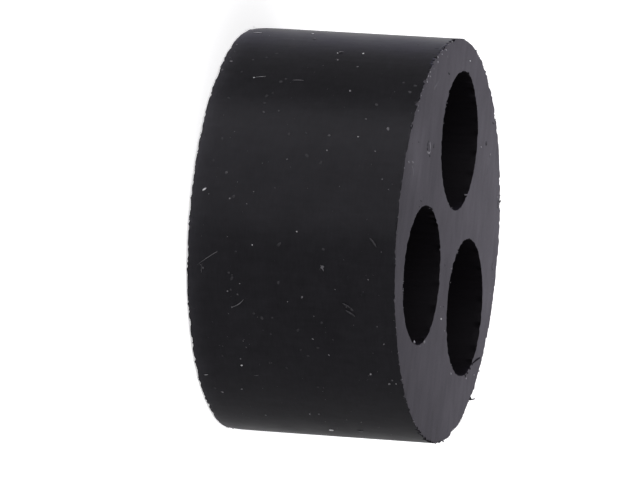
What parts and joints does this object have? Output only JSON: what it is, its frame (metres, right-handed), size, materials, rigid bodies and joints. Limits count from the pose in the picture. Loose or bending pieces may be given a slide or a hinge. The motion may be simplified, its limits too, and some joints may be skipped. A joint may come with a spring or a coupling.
{
  "type": "cable gland sealing insert",
  "caption": "Round solid rubber plug with a ring of equal cylindrical bores running through it, which lets one cable gland seal several cables.",
  "frame": {"origin": "centre of the lower cut end, on the insert's axis", "axes": "+Z along the insert's axis from the lower cut end to the upper one; +Y from the axis towards one of the bores"},
  "size_m": [0.0204, 0.0204, 0.0107],
  "materials": {
    "rubber": "matt black, slightly greyer on the cut ends"
  },
  "bodies": {
    "root": {"sealing_insert": "rubber"}
  },
  "joints": []
}
